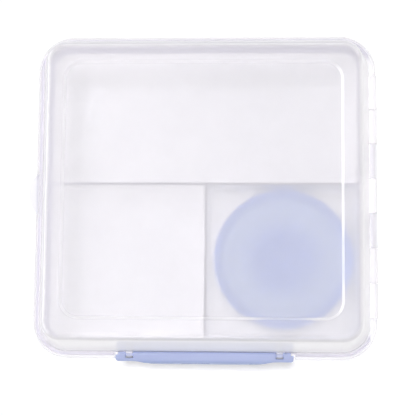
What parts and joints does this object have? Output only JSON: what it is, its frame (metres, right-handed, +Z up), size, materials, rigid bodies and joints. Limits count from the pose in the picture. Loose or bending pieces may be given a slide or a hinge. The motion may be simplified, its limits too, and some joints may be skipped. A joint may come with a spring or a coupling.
{
  "type": "compartment snack box",
  "caption": "Square translucent snack box: two hinged shells with dividers, a hinged inner flap with finger tab, a front clip and a round screw-top pot.",
  "frame": {"origin": "centre of the flat underside of the base", "axes": "+X towards the hinge side, +Y away from the clip, +Z up"},
  "size_m": [0.1677, 0.1587, 0.082],
  "materials": {
    "clear_shell": "glossy translucent polypropylene, faintly lilac, with a slight milky haze",
    "clear_flap": "satin translucent polypropylene, hazier than the shells",
    "clear_pot": "glossy translucent polypropylene",
    "blue_clip": "satin periwinkle blue polypropylene with worn highlights on its edges",
    "blue_lid": "satin periwinkle blue polypropylene",
    "pot_seal": "soft milky silicone"
  },
  "bodies": {
    "lower": {"lower_shell": "clear_shell", "hinge_rod": "clear_flap"},
    "lid": {"upper_shell": "clear_shell"},
    "flap": {"inner_flap": "clear_flap"},
    "clip": {"latch_clip": "blue_clip"},
    "pot": {"pot_body": "clear_pot"},
    "seal": {"pot_seal": "pot_seal"},
    "pot_cap": {"pot_lid": "blue_lid"}
  },
  "joints": [
    {"name": "lid_hinge", "type": "hinge", "parent": "lower", "child": "lid", "pos_m": [0.0805, 0, 0.0546], "axis": [0, 1, 0], "range_deg": [0, 180]},
    {"name": "flap_hinge", "type": "hinge", "parent": "lower", "child": "flap", "pos_m": [0.0805, 0, 0.0546], "axis": [0, 1, 0], "range_deg": [0, 90]},
    {"name": "clip_pivot", "type": "hinge", "parent": "lid", "child": "clip", "pos_m": [0.0005, -0.0763, 0.0566], "axis": [-1, 0, 0], "range_deg": [0, 110]},
    {"name": "pot_lift", "type": "slide", "parent": "lower", "child": "pot", "axis": [0, 0, 1], "range_m": [0, 0.006]},
    {"name": "pot_lid_rise", "type": "slide", "parent": "pot", "child": "seal", "axis": [0, 0, 1], "range_m": [0, 0.006]},
    {"name": "pot_lid_turn", "type": "hinge", "parent": "seal", "child": "pot_cap", "pos_m": [0.0378, -0.0294, 0.04], "axis": [0, 0, 1], "range_deg": [0, 270]}
  ],
  "couplings": [
    {"joint": "flap_hinge", "follows": "lid_hinge", "ratio": 0.5},
    {"joint": "pot_lid_rise", "follows": "pot_lid_turn", "m_per_rad": 0.0012732}
  ]
}
